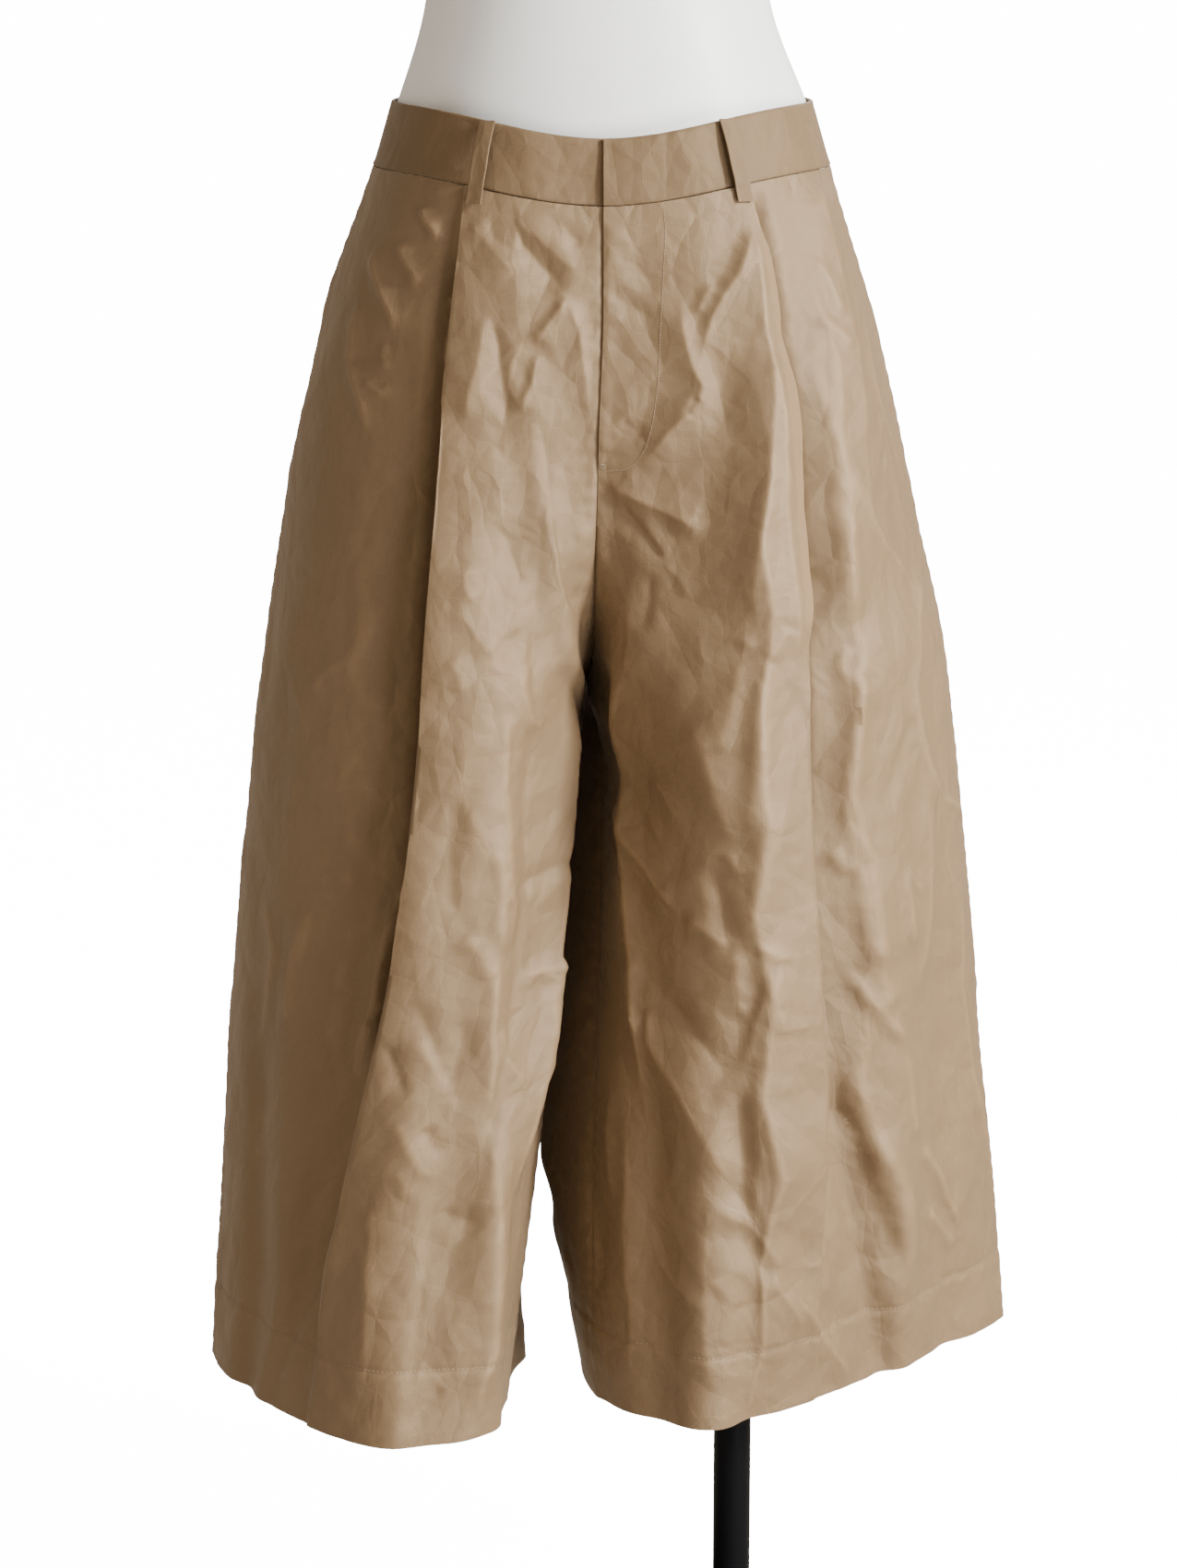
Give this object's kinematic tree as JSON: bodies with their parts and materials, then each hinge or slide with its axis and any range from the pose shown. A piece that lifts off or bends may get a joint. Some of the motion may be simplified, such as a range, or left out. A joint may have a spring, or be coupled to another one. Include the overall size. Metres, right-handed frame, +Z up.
{
  "type": "culottes on a dress form",
  "caption": "Wide cropped culottes with outward front pleats, a lapped waistband and belt loops, worn by a smooth limbless dress form on a round pole and base.",
  "frame": {"origin": "on the floor, at the centre of the base plate's underside", "axes": "+Z up, -Y out of the front, +X to the wearer's left"},
  "size_m": [0.5343, 0.3908, 1.646],
  "materials": {
    "tan_cloth": "fine plain weave with a slight sheen",
    "white_form": "smooth satin",
    "black_steel": "satin black"
  },
  "bodies": {
    "root": {"front_right": "tan_cloth", "front_left": "tan_cloth", "back_right": "tan_cloth", "back_left": "tan_cloth", "waistband": "tan_cloth", "belt_loop_front_right": "tan_cloth", "belt_loop_front_left": "tan_cloth", "belt_loop_back_right": "tan_cloth", "belt_loop_back_left": "tan_cloth", "belt_loop_centre_back": "tan_cloth", "dress_form": "white_form", "form_socket": "black_steel", "pole": "black_steel", "base_collar": "black_steel", "base_plate": "black_steel"}
  },
  "joints": []
}
